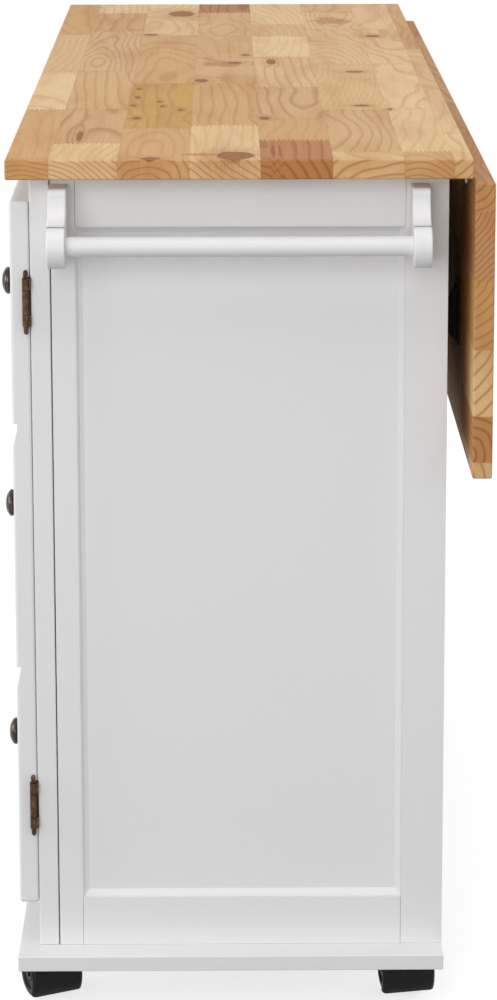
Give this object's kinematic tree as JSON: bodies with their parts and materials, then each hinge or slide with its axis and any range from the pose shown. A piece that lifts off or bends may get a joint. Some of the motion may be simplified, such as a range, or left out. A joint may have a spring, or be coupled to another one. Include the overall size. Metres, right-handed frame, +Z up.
{
  "type": "drop leaf kitchen island",
  "caption": "Rolling kitchen island with a wood block top, hinged drop leaf on stays, end cupboards, middle drawers and a towel bar on swivel casters.",
  "frame": {"origin": "on the floor under the middle of the whole island, towel brackets and hanging leaf included", "axes": "+X along the worktop to the end with the towel bar, +Y to the back with the drop leaf, +Z up"},
  "size_m": [1.3784, 0.501, 0.914],
  "materials": {
    "butcher_block": "oiled, satin",
    "white_paint": "satin white paint",
    "bare_wood": "clear, matt",
    "antique_bronze": "dark antique",
    "antique_nickel": "dark antique",
    "zinc_steel": "zinc plated",
    "black_steel": "satin black",
    "black_plastic": "satin moulded"
  },
  "bodies": {
    "cabinet": {"tabletop": "butcher_block", "base_board": "white_paint", "face_frame_stiles": "white_paint", "face_frame_rails": "white_paint", "right_end_stiles": "white_paint", "right_end_rails": "white_paint", "right_end_panel": "white_paint", "right_panel_moulding": "white_paint", "left_end_stiles": "white_paint", "left_end_rails": "white_paint", "left_end_panel": "white_paint", "left_panel_moulding": "white_paint", "partitions": "white_paint", "back_panel": "white_paint", "back_rails": "white_paint", "top_cleats": "white_paint", "shelves": "white_paint", "shelf_cleats": "white_paint", "towel_bar": "white_paint", "front_towel_bracket": "white_paint", "rear_towel_bracket": "white_paint", "drawer_runners": "bare_wood", "door_hinge_frame_leaves": "antique_bronze", "door_hinge_pins": "antique_bronze", "leaf_hinge_top_plates": "zinc_steel", "leaf_hinge_pins": "zinc_steel", "caster_plates": "zinc_steel", "stay_brackets": "black_steel", "stay_pins": "black_steel", "door_catches": "black_plastic"},
    "leaf": {"drop_leaf": "butcher_block", "leaf_hinge_flaps": "zinc_steel", "stay_receivers": "black_steel"},
    "right_stay_arm": {"right_stay": "black_steel"},
    "left_stay_arm": {"left_stay": "black_steel"},
    "right_door_body": {"right_door": "white_paint", "right_door_knobs": "antique_nickel", "right_door_hinge_leaves": "antique_bronze"},
    "left_door_body": {"left_door": "white_paint", "left_door_knobs": "antique_nickel", "left_door_hinge_leaves": "antique_bronze"},
    "top_drawer": {"top_drawer_front": "white_paint", "top_drawer_box": "bare_wood", "top_drawer_knobs": "antique_nickel"},
    "middle_drawer": {"middle_drawer_front": "white_paint", "middle_drawer_box": "bare_wood", "middle_drawer_knobs": "antique_nickel"},
    "bottom_drawer": {"bottom_drawer_front": "white_paint", "bottom_drawer_box": "bare_wood", "bottom_drawer_knobs": "antique_nickel"},
    "front_right_swivel": {"front_right_caster_hood": "black_plastic"},
    "front_right_wheel_pair": {"front_right_caster_wheels": "black_plastic"},
    "rear_right_swivel": {"rear_right_caster_hood": "black_plastic"},
    "rear_right_wheel_pair": {"rear_right_caster_wheels": "black_plastic"},
    "front_left_swivel": {"front_left_caster_hood": "black_plastic"},
    "front_left_wheel_pair": {"front_left_caster_wheels": "black_plastic"},
    "rear_left_swivel": {"rear_left_caster_hood": "black_plastic"},
    "rear_left_wheel_pair": {"rear_left_caster_wheels": "black_plastic"}
  },
  "joints": [
    {"name": "leaf_hinge", "type": "hinge", "parent": "cabinet", "child": "leaf", "pos_m": [-0.01625, 0.2285, 0.892], "axis": [1, 0, 0], "range_deg": [0, 90]},
    {"name": "right_stay_hinge", "type": "hinge", "parent": "cabinet", "child": "right_stay_arm", "pos_m": [0.45375, 0.2145, 0.792], "axis": [1, 0, 0], "range_deg": [0, 117]},
    {"name": "left_stay_hinge", "type": "hinge", "parent": "cabinet", "child": "left_stay_arm", "pos_m": [-0.48625, 0.2145, 0.792], "axis": [1, 0, 0], "range_deg": [0, 117]},
    {"name": "right_door_hinge", "type": "hinge", "parent": "cabinet", "child": "right_door_body", "pos_m": [0.62175, -0.2147, 0.5], "axis": [0, 0, 1], "range_deg": [0, 110]},
    {"name": "left_door_hinge", "type": "hinge", "parent": "cabinet", "child": "left_door_body", "pos_m": [-0.65425, -0.2147, 0.5], "axis": [0, 0, -1], "range_deg": [0, 110]},
    {"name": "top_drawer_slide", "type": "slide", "parent": "cabinet", "child": "top_drawer", "axis": [0, -1, 0], "range_m": [0, 0.3]},
    {"name": "middle_drawer_slide", "type": "slide", "parent": "cabinet", "child": "middle_drawer", "axis": [0, -1, 0], "range_m": [0, 0.3]},
    {"name": "bottom_drawer_slide", "type": "slide", "parent": "cabinet", "child": "bottom_drawer", "axis": [0, -1, 0], "range_m": [0, 0.3]},
    {"name": "front_right_caster_swivel", "type": "hinge", "parent": "cabinet", "child": "front_right_swivel", "pos_m": [0.57275, -0.1985, 0.059], "axis": [0, 0, 1], "continuous": true},
    {"name": "front_right_wheel_spin", "type": "hinge", "parent": "front_right_swivel", "child": "front_right_wheel_pair", "pos_m": [0.55644, -0.20611, 0.025], "axis": [-0.4226, 0.9063, 0], "continuous": true},
    {"name": "rear_right_caster_swivel", "type": "hinge", "parent": "cabinet", "child": "rear_right_swivel", "pos_m": [0.57275, 0.1745, 0.059], "axis": [0, 0, 1], "continuous": true},
    {"name": "rear_right_wheel_spin", "type": "hinge", "parent": "rear_right_swivel", "child": "rear_right_wheel_pair", "pos_m": [0.55508, 0.17106, 0.025], "axis": [-0.1908, 0.9816, 0], "continuous": true},
    {"name": "front_left_caster_swivel", "type": "hinge", "parent": "cabinet", "child": "front_left_swivel", "pos_m": [-0.60525, -0.1985, 0.059], "axis": [0, 0, 1], "continuous": true},
    {"name": "front_left_wheel_spin", "type": "hinge", "parent": "front_left_swivel", "child": "front_left_wheel_pair", "pos_m": [-0.62264, -0.20316, 0.025], "axis": [-0.2588, 0.9659, 0], "continuous": true},
    {"name": "rear_left_caster_swivel", "type": "hinge", "parent": "cabinet", "child": "rear_left_swivel", "pos_m": [-0.60525, 0.1745, 0.059], "axis": [0, 0, 1], "continuous": true},
    {"name": "rear_left_wheel_spin", "type": "hinge", "parent": "rear_left_swivel", "child": "rear_left_wheel_pair", "pos_m": [-0.62308, 0.177, 0.025], "axis": [0.1392, 0.9903, 0], "continuous": true}
  ],
  "couplings": [
    {"joint": "right_stay_hinge", "follows": "leaf_hinge", "ratio": 1.3},
    {"joint": "left_stay_hinge", "follows": "leaf_hinge", "ratio": 1.3}
  ]
}
